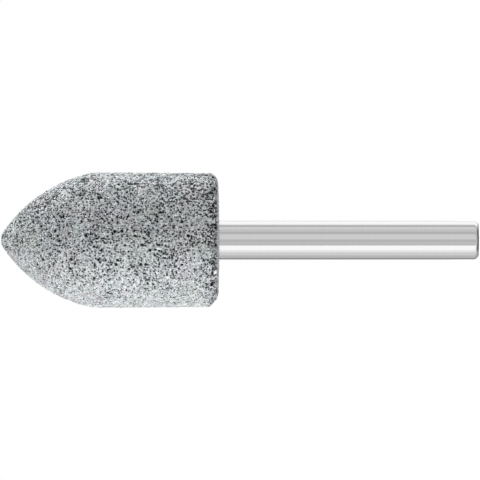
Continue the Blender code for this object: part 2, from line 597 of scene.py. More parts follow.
def shader_group(name: str, inputs: dict[str, tuple[str, Feed]], outputs: dict[str, str]) -> Net:
    """Start a shader node group.

    Args:
        name: Name of the group.
        inputs: For each input, its socket type and its default.
        outputs: For each output, its socket type.

    Returns:
        A net on the empty group, with its input and output nodes in place.
    """
    tree = bpy.data.node_groups.new(name, "ShaderNodeTree")
    for label, (kind, default) in inputs.items():
        socket = tree.interface.new_socket(label, in_out="INPUT", socket_type=kind)
        socket.default_value = default
    for label, kind in outputs.items():
        tree.interface.new_socket(label, in_out="OUTPUT", socket_type=kind)
    net = Net(tree)
    net.node("NodeGroupInput", name="In")
    net.node("NodeGroupOutput", name="Out")
    return net


def geometry_net(name: str, numbers: tuple[str, ...] = ()) -> Net:
    """Start a geometry tree that takes a mesh and gives a mesh.

    Args:
        name: Name of the tree.
        numbers: Names of its further inputs, each a number.

    Returns:
        A net on the empty tree.
    """
    tree = bpy.data.node_groups.new(name, "GeometryNodeTree")
    tree.interface.new_socket("Geometry", in_out="INPUT", socket_type="NodeSocketGeometry")
    for label in numbers:
        tree.interface.new_socket(label, in_out="INPUT", socket_type="NodeSocketFloat")
    tree.interface.new_socket("Geometry", in_out="OUTPUT", socket_type="NodeSocketGeometry")
    return Net(tree)


def apply_tree(
    piece: bpy.types.Object, tree: bpy.types.NodeTree, settings: dict[str, float] | None = None
) -> None:
    """Run a geometry tree on a piece and keep the result as its mesh.

    Args:
        piece: The piece, which has no other modifier.
        tree: The tree.
        settings: Values of the tree's inputs, by name.
    """
    modifier = piece.modifiers.new(tree.name, "NODES")
    modifier.node_group = tree
    sockets = [item for item in tree.interface.items_tree if item.in_out == "INPUT"]
    inputs = {item.name: item.identifier for item in sockets}
    for name, value in (settings or {}).items():
        modifier[inputs[name]] = value
    bpy.context.view_layer.update()
    graph = bpy.context.evaluated_depsgraph_get()
    mesh = bpy.data.meshes.new_from_object(
        piece.evaluated_get(graph), preserve_all_data_layers=True, depsgraph=graph
    )
    piece.modifiers.clear()
    old = piece.data
    piece.data = mesh
    bpy.data.meshes.remove(old)
    mesh.name = piece.name


class SharedEffects:
    """Shader node groups that more than one finish uses."""

    BROAD = Noise(0.42, 3.0)
    FINE = Noise(1.3)
    HUE = Noise(0.33, 1.0)
    TONE_GAIN = 2.0
    TINT_GAIN = 4.0

    def __init__(self) -> None:
        """Build each group once."""
        self.clouds = self._clouds()

    def _clouds(self) -> bpy.types.NodeTree:
        """Cloudy patches of tone and of faint tint, as fired clay and mixed grain show.

        Returns:
            A group that turns a colour into the same colour with clouds in it.
        """
        net = shader_group(
            "stone_clouds",
            {
                "Color": ("NodeSocketColor", (0.5, 0.5, 0.5, 1.0)),
                "Place": ("NodeSocketVector", (0.0, 0.0, 0.0)),
                "Tone": ("NodeSocketFloat", 0.2),
                "Tint": ("NodeSocketFloat", 0.05),
            },
            {"Color": "NodeSocketColor"},
        )
        given = net.tree.nodes["In"].outputs
        both = net.maths("ADD", *(net.noise(given["Place"], kind) for kind in (self.BROAD, self.FINE)))
        swing = net.maths("MULTIPLY", net.maths("SUBTRACT", both, 1.0), given["Tone"])
        level = net.maths("MULTIPLY_ADD", swing, self.TONE_GAIN, 1.0)
        hue = net.vectors("SUBTRACT", net.noise(given["Place"], self.HUE, "Color"), NOISE_MEAN)
        hue = net.vectors("SCALE", hue, net.maths("MULTIPLY", given["Tint"], self.TINT_GAIN))
        lit = net.vectors("SCALE", given["Color"], level)
        tinted = net.vectors("MULTIPLY", lit, net.vectors("ADD", hue, WHITE[:3]))
        net.feed(net.tree.nodes["Out"], {"Color": tinted})
        return net.tree

    def clouded(self, net: Net, colour: Feed, place_mm: Feed, clouds: Clouds) -> bpy.types.NodeSocket:
        """Place the clouds in a finish and return the clouded colour."""
        feeds = {"Color": colour, "Place": place_mm, "Tone": clouds.tone, "Tint": clouds.tint}
        return net.node("ShaderNodeGroup", feeds, node_tree=self.clouds).outputs["Color"]


def new_finish(name: str) -> tuple[bpy.types.Material, Net, bpy.types.Node]:
    """Start a finish.

    Args:
        name: Name of the material.

    Returns:
        The material, a net on its tree, and its Principled shader.
    """
    finish = bpy.data.materials.new(name)
    finish.use_nodes = True
    return finish, Net(finish.node_tree), finish.node_tree.nodes["Principled BSDF"]


@dataclass(frozen=True)
class GrainFinish:
    """Crushed grains, each with a tone of its own.

    Args:
        name: Name of the material.
        low: Colour of the darkest grains.
        high: Colour of the lightest grains.
        roughness: Roughness of the broken faces.
        spread: How much rougher the darkest grains are, and smoother the lightest.
        mottle: Noise in each grain.
        mottle_level: Factor on the colour that it gives.
        soil_and_shade_level: Factor on the colour that wear gives: partly soil, partly painted shade on
            the rear face and rear edge.
    """

    name: str
    low: Colour
    high: Colour
    roughness: float
    spread: float = 0.1
    mottle: Noise = Noise(9.0)
    mottle_level: Ramp = Ramp(0.3, 0.7, 0.90, 1.08)
    soil_and_shade_level: Ramp = Ramp(0.0, 1.0, 1.0, 0.56, smooth=False)

    def build(self, effects: SharedEffects) -> bpy.types.Material:
        """Make the material.

        Args:
            effects: The shared groups.

        Returns:
            The material.
        """
        finish, net, shader = new_finish(self.name)
        tone = net.attribute(Mark.TONE)
        place = net.object_mm()
        colour = net.blend(tone, (*self.low, 1.0), (*self.high, 1.0))
        colour = effects.clouded(net, colour, place, STONE_CLOUDS)
        mottled = net.ramp(net.noise(place, self.mottle), self.mottle_level)
        # Wear darkens the grains: partly soil, partly painted shade on the rear face and rear edge.
        soil_and_shade = net.ramp(net.attribute(Mark.WEAR), self.soil_and_shade_level)
        colour = net.vectors("SCALE", colour, net.maths("MULTIPLY", mottled, soil_and_shade))
        dull = Ramp(0.0, 1.0, self.roughness + self.spread, self.roughness - self.spread)
        net.feed(shader, {"Base Color": colour, "Roughness": net.ramp(tone, dull)})
        return finish


@dataclass(frozen=True)
class GrainKind:
    """One kind of grain in the head.

    Args:
        piece: Name of its piece.
        share: Its share of all grains.
        finish: Its finish.
    """

    piece: str
    share: float
    finish: GrainFinish


@dataclass(frozen=True)
class BondFinish:
    """Fired bond between the grains, with painted shade where a pore lies open.

    Args:
        colour: Colour of the bond.
        floor: Colour of the painted shade at the bottom and walls of a pore.
        pore_shade_share: Share of that painted shade, by the depth inside a void in millimetres.
        speckle: Noise of the bond's own fine grain.
        speckle_level: Factor on the colour that it gives.
        roughness: Roughness of the bond.
        rough: Noise of the fine bumps.
        rough_mm: Height of these bumps.
        rough_strength: How strongly they show.
    """

    colour: Colour = (0.575, 0.600, 0.609)
    floor: Colour = (0.036, 0.038, 0.039)
    pore_shade_share: Ramp = Ramp(-0.03, 0.06)
    speckle: Noise = Noise(4.5)
    speckle_level: Ramp = Ramp(0.36, 0.64, 0.55, 1.20)
    roughness: float = 0.9
    rough: Noise = Noise(14.0, 3.0)
    rough_mm: float = 0.03
    rough_strength: float = 0.5

    def build(self, effects: SharedEffects) -> bpy.types.Material:
        """Make the material.

        Args:
            effects: The shared groups.

        Returns:
            The material.
        """
        finish, net, shader = new_finish("fired_bond")
        place = net.attribute(Mark.PLACE, "Vector")
        speckled = net.ramp(net.noise(place, self.speckle), self.speckle_level)
        colour = effects.clouded(net, net.vectors("SCALE", self.colour, speckled), place, STONE_CLOUDS)
        # Painted shade: pores and torn hollows get a dark colour by their depth, in place of their shadow.
        dark = net.ramp(PORES.depth(net, place, net.attribute(Mark.WEAR)), self.pore_shade_share)
        colour = net.blend(dark, colour, (*self.floor, 1.0))
        bump = net.bump(net.noise(place, self.rough), self.rough_mm, self.rough_strength)
        net.feed(shader, {"Base Color": colour, "Roughness": self.roughness, "Normal": bump})
        return finish


@dataclass(frozen=True)
class SteelFinish:
    """Centreless ground steel, with fine rings from the wheel, and a rougher turned end whose darker
    colour is a painted dark reflection.

    Args:
        colour: Colour of the ground steel.
        painted_end_reflection: Colour of the rounded end, darker than the ground steel: a painted dark
            reflection.
        end_share: Share of the rounded end, with its painted dark reflection, by height in millimetres.
        stretch: Rings for each millimetre across and along the shank.
        end_rings: Rings for each millimetre across the turned end.
        rings: Noise of the rings.
        streak: How much they change the ground steel's tone.
        end_streak: What the turned end adds to that.
        roughness: Roughness of the ground steel, by that noise.
        end_roughness: What the turned end adds to it.
        ring_mm: Height of the rings.
        ring_strength: How strongly they show.
    """

    colour: Colour = (0.455, 0.455, 0.460)
    painted_end_reflection: Colour = (0.36, 0.36, 0.365)
    end_share: Ramp = Ramp(0.30, 0.20)
    stretch: tuple[float, float, float] = (0.12, 0.12, 9.0)
    end_rings: float = 16.0
    rings: Noise = Noise(1.0, 3.0)
    streak: float = 0.075
    end_streak: float = 0.45
    roughness: Ramp = Ramp(0.3, 0.7, 0.08, 0.13)
    end_roughness: float = 0.25
    ring_mm: float = 0.004
    ring_strength: float = 0.05

    def build(self) -> bpy.types.Material:
        """Make the material.

        Returns:
            The material.
        """
        finish, net, shader = new_finish("ground_steel_shank")
        place = net.object_mm()
        end = net.ramp(net.part(place, 2), self.end_share)
        radius = net.length(net.vectors("MULTIPLY", place, (1.0, 1.0, 0.0)))
        facing = net.maths("MULTIPLY", net.maths("MULTIPLY", radius, self.end_rings), end)
        along = net.vectors("MULTIPLY", place, self.stretch)
        rings = net.noise(net.vectors("ADD", along, net.vector(0.0, 0.0, facing)), self.rings)
        swing = net.maths("MULTIPLY_ADD", end, self.end_streak, self.streak)
        streak = net.maths("MULTIPLY_ADD", net.maths("SUBTRACT", rings, 0.5), swing, 1.0)
        # The rounded end's darker colour is a painted dark reflection.
        colour = net.blend(end, net.vectors("SCALE", self.colour, streak), (*self.painted_end_reflection, 1.0))
        rough = net.maths("MULTIPLY_ADD", end, self.end_roughness, net.ramp(rings, self.roughness))
        bump = net.bump(rings, self.ring_mm, self.ring_strength)
        net.feed(shader, {"Base Color": colour, "Roughness": rough, "Metallic": 1.0, "Normal": bump})
        return finish


@dataclass(frozen=True)
class CementFinish:
    """Cured cement, slightly grainy.

    Args:
        colour: Colour of the cement.
        grain: Noise of its grain.
        grain_level: Factor on the colour that it gives.
        grain_roughness: Roughness that it gives.
        grain_mm: Height of the grain.
        clouds: Cloudy patches in the colour.
    """

    colour: Colour = (0.42, 0.40, 0.36)
    grain: Noise = Noise(6.0, 3.0)
    grain_level: Ramp = Ramp(0.3, 0.7, 0.8, 1.15)
    grain_roughness: Ramp = Ramp(0.3, 0.7, 0.7, 0.85)
    grain_mm: float = 0.05
    clouds: Clouds = Clouds(0.15, 0.03)

    def build(self, effects: SharedEffects) -> bpy.types.Material:
        """Make the material.

        Args:
            effects: The shared groups.

        Returns:
            The material.
        """
        finish, net, shader = new_finish("cured_cement_fill")
        place = net.object_mm()
        grain = net.noise(place, self.grain)
        colour = net.vectors("SCALE", self.colour, net.ramp(grain, self.grain_level))
        colour = effects.clouded(net, colour, place, self.clouds)
        rough = net.ramp(grain, self.grain_roughness)
        bump = net.bump(grain, self.grain_mm)
        net.feed(shader, {"Base Color": colour, "Roughness": rough, "Normal": bump})
        return finish


@dataclass(frozen=True)
class Relief:
    """Relief of the bond: it lies below the grains' tops, and sinks where a pore is open.

    Args:
        sink_mm: Depth of the bond below the true surface.
        pore_mm: Depth of a pore below the bond.
        wall_mm: Depths inside a void between which the bond sinks that far.
        ripple: Noise of the bond's small lumps.
        ripple_mm: Height of these lumps.
    """

    sink_mm: float = 0.075
    pore_mm: float = 0.42
    wall_mm: Range = (-0.02, 0.10)
    ripple: Noise = Noise(3.0)
    ripple_mm: float = 0.06

    def press(self, piece: bpy.types.Object) -> None:
        """Give a skin its relief, and keep its first positions for its finish.

        Args:
            piece: The skin.
        """
        net = geometry_net("bond_relief")
        given = net.node("NodeGroupInput").outputs[0]
        stored = net.store(given, Mark.PLACE, net.position_mm(), data_type="FLOAT_VECTOR")
        place = net.named(Mark.PLACE, "FLOAT_VECTOR")
        depth = PORES.depth(net, place, net.named(Mark.WEAR))
        hollow = net.ramp(depth, Ramp(*self.wall_mm, 0.0, self.pore_mm))
        lumps = net.maths("SUBTRACT", net.noise(place, self.ripple), 0.5)
        lumps = net.maths("MULTIPLY", lumps, 2 * self.ripple_mm)
        inwards = net.maths("ADD", net.maths("SUBTRACT", hollow, lumps), self.sink_mm)
        inwards = net.maths("MULTIPLY", inwards, net.named(Mark.SKIN))
        inwards = net.maths("MULTIPLY", inwards, -MILLIMETRE)
        normal = net.node("GeometryNodeInputNormal").outputs["Normal"]
        feeds = {"Geometry": stored, "Offset": net.vectors("SCALE", normal, inwards)}
        moved = net.node("GeometryNodeSetPosition", feeds).outputs[0]
        net.node("NodeGroupOutput", {0: moved})
        apply_tree(piece, net.tree)


@dataclass(frozen=True)
class Chip:
    """Shallow bite broken out of the head's edge.

    Args:
        bearing_deg: Direction from the axis, 0 towards -Y and 90 towards +X.
        height: Height of its middle above the rear face.
        reach: Distance of its middle from the axis.
        radius: Radius of the ball that would fit it.
        rise: How far its inner wall lies towards the tip, for each unit towards the axis.
    """

    bearing_deg: float
    height: float
    reach: float
    radius: float
    rise: float = 0.7

    def press(self, vert: bmesh.types.BMVert, rear: float) -> bool:
        """Push a vertex that lies in the bite to its inner wall.

        Args:
            vert: A vertex of the skin.
            rear: Height of the rear face.

        Returns:
            Whether the vertex was moved.
        """
        aside = level_direction(self.bearing_deg)
        middle = aside * self.reach + Vector((0.0, 0.0, rear + self.height))
        away = vert.co - middle
        if away.length_squared > self.radius**2:
            return False
        inwards = (Vector((0.0, 0.0, self.rise)) - aside).normalized()
        along = away.dot(inwards)
        vert.co += inwards * (math.sqrt(along**2 + self.radius**2 - away.length_squared) - along)
        return True


@dataclass
class AbrasiveHead:
    """Pointed head: a bond with open pores, and crushed grains that stand in it.

    The rear face, the tip and the radius come from the frame. The other sizes repeat the
    model's own, except that the arch, the worn edge and the rear face are fuller by the
    0.1 to 0.2 mm that open grain takes off their outline.

    Args:
        point_length: Height of the pointed arch.
        point_arc_radius: Radius of the arch.
        nose_radius: Radius of the tip.
        shoulder_radius: Radius of the blend between body and arch.
        body_draft: How much the body narrows towards the rear.
        rear_edge_height: Height of the rear edge's rounding.
        rear_edge_depth: Depth of the rear edge's rounding.
        rear_crown: How far the rear face bulges.
        rear_fullness: What is added to the rear face, as much as open grain takes off it.
        worn_height: Height of the worn flat across the rear edge on the -X side.
        worn_depth: Depth of the worn flat.
        worn_softness: How far the worn flat's edges are rounded to each side.
        bore_radius: Radius of the blind bore.
        bore_depth: Depth of the bore in the model, without its cone.
        bore_cone: Height of the cone at the bottom of the bore.
        mouth_chamfer: Chamfer of the bore's mouth.
        face_wear_and_shade: Wear of the rear face round the bore, where 1 is fully worn. Besides real
            wear, it darkens the grains there as painted shade.
        rear_wear_and_shade: Wear at the rear edge, which also darkens it as painted shade.
        worn_ring: Radii between which the wear and painted shade of the rear face grow.
        rear_wear_reach: Height above the rear face at which that wear and painted shade end.
        flat_wear: Wear of the worn flat.
        flat_wear_reach: Distance from the worn flat at which its wear ends.
        chips: Bites broken out of the rear edge.
        chipped_height: Height above the rear face up to which chips reach.
        row_step: Distance between two rows of the skin's faces.
        columns: Columns of the skin's faces.
        rings: Names of the pieces that the skin is cut into, from the bore to the tip.
        relief: Relief of the bond.
        finish: Finish of the bond.
    """

    point_length: float = 0.0141
    point_arc_radius: float = 0.0212
    nose_radius: float = 0.0021
    shoulder_radius: float = 0.0060
    body_draft: float = 0.0001
    rear_edge_height: float = 0.0014
    rear_edge_depth: float = 0.0019
    rear_crown: float = 0.00012
    rear_fullness: float = 0.00008
    worn_height: float = 0.00134
    worn_depth: float = 0.00183
    worn_softness: float = 0.00030
    bore_radius: float = 0.0039
    bore_depth: float = 0.0189
    bore_cone: float = 0.0012
    mouth_chamfer: float = 0.0004
    face_wear_and_shade: float = 0.45
    rear_wear_and_shade: float = 0.82
    worn_ring: Range = (0.0062, 0.0092)
    rear_wear_reach: float = 0.0028
    flat_wear: float = 0.65
    flat_wear_reach: float = 0.00035
    chips: tuple[Chip, ...] = (
        Chip(-90.0, 0.0003, 0.0091, 0.00055),
        Chip(-71.0, 0.0007, 0.0096, 0.00055),
        Chip(-57.0, 0.0001, 0.0091, 0.00050),
        Chip(-41.0, 0.0010, 0.0102, 0.00045),
        Chip(-30.0, 0.0002, 0.0094, 0.00060),
        Chip(-19.0, 0.0008, 0.0102, 0.00045),
        Chip(-4.0, 0.0004, 0.0096, 0.00050),
        Chip(12.0, 0.0002, 0.0094, 0.00060),
        Chip(31.0, 0.0009, 0.0102, 0.00050),
        Chip(52.0, 0.0003, 0.0095, 0.00055),
        Chip(74.0, 0.0008, 0.0100, 0.00045),
        Chip(103.0, 0.0003, 0.0094, 0.00055),
        Chip(155.0, 0.0003, 0.0095, 0.00055),
        Chip(-112.0, 0.0004, 0.0094, 0.00060),
        Chip(-150.0, 0.0007, 0.0097, 0.00050),
    )
    chipped_height: float = 0.0022
    row_step: float = 0.000101
    columns: int = 640
    rings: tuple[str, ...] = ("bond_rear", "bond_body", "bond_point")
    relief: Relief = Relief()
    finish: BondFinish = BondFinish()

    def __post_init__(self) -> None:
        """Read the outer sizes from the frame."""
        low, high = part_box("abrasive_head")
        self.rear = low.z - self.rear_fullness
        self.bore_end = low.z + self.bore_depth
        self.tip = high.z
        self.radius = high.x
        self.rear_radius = self.radius - self.body_draft

    def _arch_centre(self) -> Place:
        """Find the centre of the arch, which passes through the shoulder and touches the nose.

        Returns:
            Its radius and height.
        """
        shoulder = Vector((self.radius, self.tip - self.point_length))
        to_nose = Vector((0.0, self.tip - self.nose_radius)) - shoulder
        inner = self.point_arc_radius - self.nose_radius
        foot = (to_nose.length_squared + self.point_arc_radius**2 - inner**2) / (2 * to_nose.length)
        offset = math.sqrt(self.point_arc_radius**2 - foot**2)
        along = to_nose.normalized()
        aside = Vector((-along.y, along.x))
        return tuple(shoulder + along * foot + aside * offset)

    def outline(self) -> Outline:
        """Draw the outline from the bottom of the bore round to the tip.

        Returns:
            The outline.
        """
        drawn = Outline()
        drawn.point(0.0, self.bore_end + self.bore_cone)
        drawn.point(self.bore_radius, self.bore_end)
        drawn.point(self.bore_radius, self.rear + self.mouth_chamfer)
        drawn.point(self.bore_radius + self.mouth_chamfer, self.rear, skin=1.0)
        edge = (self.rear_radius - self.rear_edge_depth, self.rear + self.rear_crown)
        drawn.line(edge, self.row_step)
        centre = (edge[0], edge[1] + self.rear_edge_height)
        radii = (self.rear_edge_depth, self.rear_edge_height)
        drawn.arc(centre, radii, -math.pi / 2, 0.0, self.row_step)
        self._draw_point(drawn)
        return drawn

    def _draw_point(self, drawn: Outline) -> None:
        """Draw the body, the shoulder's blend, the arch and the nose, each tangent to the last.

        Args:
            drawn: The outline, which ends at the rear edge.
        """
        arch = self._arch_centre()
        across = self.radius - self.shoulder_radius
        rise = math.sqrt((self.point_arc_radius - self.shoulder_radius) ** 2 - (across - arch[0]) ** 2)
        blend = (across, arch[1] + rise)
        nose = (0.0, self.tip - self.nose_radius)
        start = math.atan2(rise, across - arch[0])
        end = math.atan2(nose[1] - arch[1], nose[0] - arch[0])
        drawn.line((self.radius, blend[1]), self.row_step)
        drawn.arc(blend, (self.shoulder_radius,) * 2, 0.0, start, self.row_step)
        drawn.arc(arch, (self.point_arc_radius,) * 2, start, end, self.row_step)
        drawn.arc(nose, (self.nose_radius,) * 2, end, math.pi / 2, self.row_step)

    def _rub(self, solid: bmesh.types.BMesh) -> None:
        """Press the rear edge on the -X side back to the worn flat, and mark the wear, which near the rear
        face also stands for painted shade.

        Args:
            solid: The head's true outer surface.
        """
        skin, wear = (solid.verts.layers.float[mark.value] for mark in (Mark.SKIN, Mark.WEAR))
        fade = self.rear_wear_reach
        inner, outer = self.worn_ring
        on_body = Vector((-self.rear_radius, 0.0, self.rear + self.worn_height))
        outwards = Vector((-self.worn_height, 0.0, -self.worn_depth)).normalized()
        soft = self.worn_softness
        for vert in solid.verts:
            if vert[skin] < 0.5:
                continue
            beyond = (vert.co - on_body).dot(outwards)
            pressed = (beyond + soft) ** 2 / (4 * soft) if abs(beyond) < soft else max(beyond, 0.0)
            vert.co -= outwards * pressed
            worn = self.flat_wear * share_of(1.0 + beyond / self.flat_wear_reach)
            # Towards the rear face the wear is partly painted shade, which darkens the colour there.
            near_edge = share_of((math.hypot(vert.co.x, vert.co.y) - inner) / (outer - inner))
            rear = self.face_wear_and_shade + (self.rear_wear_and_shade - self.face_wear_and_shade) * near_edge
            rear *= share_of((self.rear + fade - vert.co.z) / fade)
            near = self.chips if vert.co.z < self.rear + self.chipped_height else ()
            broken = any([chip.press(vert, self.rear) for chip in near])
            vert[wear] = max(worn, rear, float(broken))

    def skin(self) -> bpy.types.Object:
        """Make the head's true outer surface with its bore, without relief.

        Returns:
            The surface, as an object.
        """
        solid = self.outline().turned(self.columns)
        self._rub(solid)
        piece = make_piece("head_skin", solid)
        lay_bake_map(piece.data, self.columns)
        return piece

    def _divide(self, skin: bpy.types.Object) -> list[bpy.types.Object]:
        """Cut the skin into rings with an equal share of its rows of faces.

        Args:
            skin: The skin, which is removed.

        Returns:
            The rings.
        """
        rings = []
        run = read_floats(skin.data, Mark.RUN)
        corner_vert, face = read_corners(skin.data)
        reached = np.zeros(len(skin.data.polygons))
        np.maximum.at(reached, face, run[corner_vert])
        rows = np.unique(reached.round(NANOMETRE_DIGITS), return_inverse=True)[1]
        part_of = rows * len(self.rings) // (rows.max() + 1)
        for number, name in enumerate(self.rings):
            ring = bmesh.new()
            ring.from_mesh(skin.data)
            outside = [found for found in ring.faces if part_of[found.index] != number]
            bmesh.ops.delete(ring, geom=outside, context="FACES")
            rings.append(make_piece(name, ring))
        bpy.data.objects.remove(skin)
        return rings

    def build(self, skin: bpy.types.Object, effects: SharedEffects) -> None:
        """Press the skin into its relief, cut it into rings and dress them.

        Args:
            skin: The skin, which is removed.
            effects: The shared groups.
        """
        self.relief.press(skin)
        bond = self.finish.build(effects)
        for ring in self._divide(skin):
            dress(ring, bond)
            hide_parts("abrasive_head")


@dataclass(frozen=True)
class Tier:
    """Ring of corners of a grain of unit radius.

    Args:
        corners: Number of corners.
        reach: Their mean distance from the grain's middle.
        height: Their height, where the flat top is at 0.
        slack: How far a corner may lie below that height.
    """

    corners: int
    reach: float
    height: float
    slack: float


@dataclass
class GrainBed:
    """Crushed grains, scattered over the head's true surface.

    Each grain has a flat top, because the head is trued to its shape after firing.

    Args:
        kinds: The kinds of grain. Their shares add up to 1.
        radius_mm: Mean radius of a grain.
        radii: Least and greatest radius, as shares of the mean.
        widths: Least and greatest width, as shares of the length.
        spacing_mm: Least distance between two grains' middles.
        density: Grains that are tried for each square of that distance.
        on_skin: Share of skin below which no grain is laid.
        pore_margin: What a grain keeps from an open pore, as a share of its mean radius.
        forms: Number of different grain shapes.
        tiers: Rings of corners of each shape.
        stray: How far a corner strays round its ring, as a share of the corners' distance.
        reaches: Least and greatest distance of a corner, as shares of its ring's reach.
        map_middle: Depth of the point from which a shape is laid out for baking.
        tilt: Most that a grain leans.
        reach: Share of its radius at which a leaning grain touches the true surface.
        margin_mm: What all grains keep below the true surface.
        seed: Seed of every random draw.
    """

    kinds: tuple[GrainKind, ...] = (
        GrainKind(
            "light_grains", 0.770,
            GrainFinish("light_grain", (0.690, 0.721, 0.732), (0.835, 0.872, 0.882), 0.62),
        ),
        GrainKind(
            "grey_grains", 0.08,
            GrainFinish("grey_grain", (0.40, 0.42, 0.426), (0.60, 0.63, 0.637), 0.60),
        ),
        GrainKind(
            "dark_grains", 0.150,
            GrainFinish("dark_grain", (0.034, 0.036, 0.037), (0.15, 0.157, 0.16), 0.45),
        ),
    )
    radius_mm: float = 0.165
    radii: Range = (0.80, 1.22)
    widths: Range = (0.75, 1.05)
    spacing_mm: float = 0.25
    density: float = 7.0
    on_skin: float = 0.99
    pore_margin: float = 0.65
    forms: int = 9
    tiers: tuple[Tier, ...] = (
        Tier(5, 0.86, 0.0, 0.03), Tier(4, 1.12, -0.62, 0.20), Tier(1, 0.30, -1.15, 0.10)
    )
    stray: float = 0.3
    reaches: Range = (0.74, 1.14)
    map_middle: float = 0.45
    tilt: float = math.radians(22.0)
    reach: float = 0.90
    margin_mm: float = 0.006
    seed: int = 7

    def _seed(self, number: int) -> int:
        """Seed of one of the bed's random draws."""
        return self.seed * 100 + number

    def _draw(self, net: Net, draw: Draw, low: float, high: float) -> bpy.types.NodeSocket:
        """Draw a random number for each grain."""
        feeds = {2: low, 3: high, "Seed": self._seed(draw.value)}
        return net.node("FunctionNodeRandomValue", feeds, data_type="FLOAT").outputs[1]

    def grain(self, number: int) -> bpy.types.Object:
        """Make one grain shape of unit radius.

        Args:
            number: Number of the shape.

        Returns:
            A closed angular grain, its flat top at height 0.
        """
        draw = random.Random(self._seed(number))
        form = bmesh.new()
        for tier in self.tiers:
            turn = draw.uniform(0.0, math.tau)
            for corner in range(tier.corners):
                stray = draw.uniform(-self.stray, self.stray)
                angle = turn + (corner + stray) / tier.corners * math.tau
                reach = tier.reach * draw.uniform(*self.reaches)
                height = tier.height - tier.slack * draw.random()
                form.verts.new((reach * math.cos(angle), reach * math.sin(angle), height))
        hull = bmesh.ops.convex_hull(form, input=form.verts)
        left_over = [found for found in hull["geom_interior"] if isinstance(found, bmesh.types.BMVert)]
        bmesh.ops.delete(form, geom=left_over, context="VERTS")
        bmesh.ops.recalc_face_normals(form, faces=form.faces)
        self._flatten(form)
        mesh = bpy.data.meshes.new(f"grain_form_{number}")
        form.to_mesh(mesh)
        form.free()
        return bpy.data.objects.new(mesh.name, mesh)

    def _flatten(self, form: bmesh.types.BMesh) -> None:
        """Map a grain's faces outwards from its top, so that each has room in the bake map.

        Args:
            form: The grain.
        """
        layer = form.loops.layers.uv.new(BAKE_MAP)
        middle = Vector((0.0, 0.0, -self.map_middle))
        for loop in (loop for face in form.faces for loop in face.loops):
            ray = (loop.vert.co - middle).normalized()
            reach = math.acos(max(-1.0, min(1.0, ray.z))) / math.pi
            turn = math.atan2(ray.y, ray.x)
            loop[layer].uv = (0.5 + 0.5 * reach * math.cos(turn), 0.5 + 0.5 * reach * math.sin(turn))

    def _points(self, net: Net, skin: Feed) -> bpy.types.bpy_prop_collection:
        """Scatter points over the skin.

        Args:
            net: The tree.
            skin: The skin's geometry.

        Returns:
            The points, and the normal and rotation of the skin under each.
        """
        spacing = self.spacing_mm * MILLIMETRE
        feeds = {
            "Mesh": skin, "Selection": net.maths("GREATER_THAN", net.named(Mark.SKIN), self.on_skin),
            "Distance Min": spacing, "Density Max": self.density / spacing**2, "Seed": self.seed,
        }
        settings = {"distribute_method": "POISSON", "use_legacy_normal": False}
        return net.node("GeometryNodeDistributePointsOnFaces", feeds, **settings).outputs

    def _unwanted(self, net: Net, start: Feed, end: Feed) -> bpy.types.NodeSocket:
        """Tell which points get no grain.

        Args:
            net: The tree.
            start: Draw from which this kind of grain is laid.
            end: Draw up to which it is laid.

        Returns:
            Whether a point lies at an open pore or belongs to another kind of grain.
        """
        depth = PORES.depth(net, net.position_mm(), net.named(Mark.WEAR))
        at_pore = net.maths("GREATER_THAN", depth, -self.pore_margin * self.radius_mm)
        kind = self._draw(net, Draw.KIND, 0.0, 1.0)
        before, after = net.maths("LESS_THAN", kind, start), net.maths("GREATER_THAN", kind, end)
        return net.maths("MAXIMUM", at_pore, net.maths("MAXIMUM", before, after))

    def _sink(self, net: Net, lean_x: Feed, lean_y: Feed, size: Feed) -> bpy.types.NodeSocket:
        """Work out how far a grain is lowered, so that its leaning top stays under the skin.

        Args:
            net: The tree.
            lean_x: Its lean about its first axis.
            lean_y: Its lean about its second axis.
            size: Its radius.

        Returns:
            The distance, negative.
        """
        steep = net.maths("MULTIPLY_ADD", lean_x, lean_x, net.maths("MULTIPLY", lean_y, lean_y))
        rise = net.maths("MULTIPLY", net.maths("SQRT", steep), size)
        return net.maths("MULTIPLY_ADD", rise, -self.reach, -self.margin_mm * MILLIMETRE)

    def scatter_tree(self, shapes: bpy.types.Collection) -> bpy.types.NodeTree:
        """Weave the tree that scatters grains over a skin.

        Args:
            shapes: Collection of the grain shapes.

        Returns:
            A geometry tree. Its inputs From and To pick grains by their own draw from 0 to 1.
        """
        net = geometry_net("grain_scatter", ("From", "To"))
        given = net.node("NodeGroupInput").outputs
        points = self._points(net, given["Geometry"])
        wrong = self._unwanted(net, given["From"], given["To"])
        feeds = {"Geometry": points["Points"], "Selection": wrong}
        kept = net.node("GeometryNodeDeleteGeometry", feeds, domain="POINT").outputs[0]
        size = self._draw(net, Draw.SIZE, *(share * self.radius_mm * MILLIMETRE for share in self.radii))
        lean = [self._draw(net, draw, -self.tilt, self.tilt) for draw in (Draw.LEAN_X, Draw.LEAN_Y)]
        sunk = net.vectors("SCALE", points["Normal"], self._sink(net, *lean, size))
        lowered = net.node("GeometryNodeSetPosition", {"Geometry": kept, "Offset": sunk}).outputs[0]
        angles = net.vector(*lean, self._draw(net, Draw.TURN, 0.0, math.tau))
        feeds = {0: points["Rotation"], 1: net.node("FunctionNodeEulerToRotation", {0: angles}).outputs[0]}
        turned = net.node("FunctionNodeRotateRotation", feeds, rotation_space="LOCAL").outputs[0]
        width = net.maths("MULTIPLY", size, self._draw(net, Draw.WIDTH, *self.widths))
        feeds = {"Collection": shapes, "Separate Children": True, "Reset Children": True}
        source = net.node("GeometryNodeCollectionInfo", feeds).outputs[0]
        just_below_forms = self.forms - 0.001
        pick = net.maths("FLOOR", self._draw(net, Draw.FORM, 0.0, just_below_forms))
        feeds = {
            "Points": lowered, "Instance": source, "Pick Instance": True, "Instance Index": pick,
            "Rotation": turned, "Scale": net.vector(size, width, size),
        }
